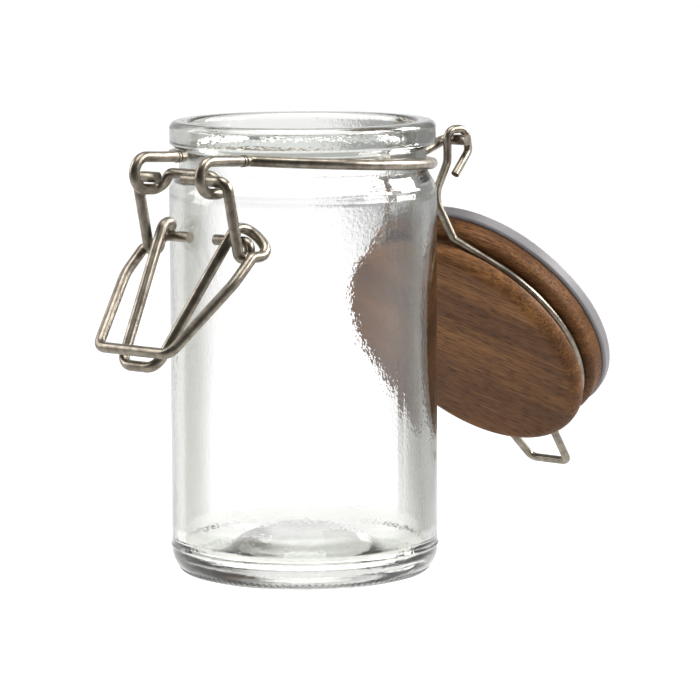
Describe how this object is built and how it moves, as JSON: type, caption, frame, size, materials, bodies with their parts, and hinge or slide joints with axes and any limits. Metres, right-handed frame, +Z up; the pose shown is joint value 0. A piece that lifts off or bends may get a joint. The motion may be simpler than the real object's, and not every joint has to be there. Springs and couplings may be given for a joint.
{
  "type": "clip-top storage jar",
  "caption": "Small clear glass storage jar with a grooved wooden lid on a bent-wire hinge, a silicone seal and a wire lever latch, shown open and empty.",
  "frame": {"origin": "centre of the jar's foot, on the surface the jar stands on", "axes": "+Z up along the jar's axis, -Y towards the latch, +Y towards the lid's hinge, +X to the right seen from the latch"},
  "size_m": [0.062, 0.1425, 0.1023],
  "materials": {
    "glass": "clear, polished",
    "wood": "dark brown, fine grain, oiled",
    "silicone": "smooth, translucent grey",
    "steel": "drawn stainless wire"
  },
  "bodies": {
    "jar": {"glass_jar": "glass", "neck_wire": "steel"},
    "lid": {"lid_wood": "wood", "seal_ring": "silicone", "lid_wire": "steel"},
    "links": {"link_right": "steel", "link_left": "steel"},
    "lever": {"lever": "steel"}
  },
  "joints": [
    {"name": "lid_hinge", "type": "hinge", "parent": "jar", "child": "lid", "pos_m": [0, 0.0453, 0.09545], "axis": [1, 0, 0], "range_deg": [0, 232.8]},
    {"name": "link_swing", "type": "hinge", "parent": "jar", "child": "links", "pos_m": [0, -0.03868, 0.09148], "axis": [-1, 0, 0], "range_deg": [0, 150]},
    {"name": "lever_swing", "type": "hinge", "parent": "links", "child": "lever", "pos_m": [0, -0.03175, 0.07798], "axis": [-1, 0, 0], "range_deg": [-30, 25]}
  ]
}
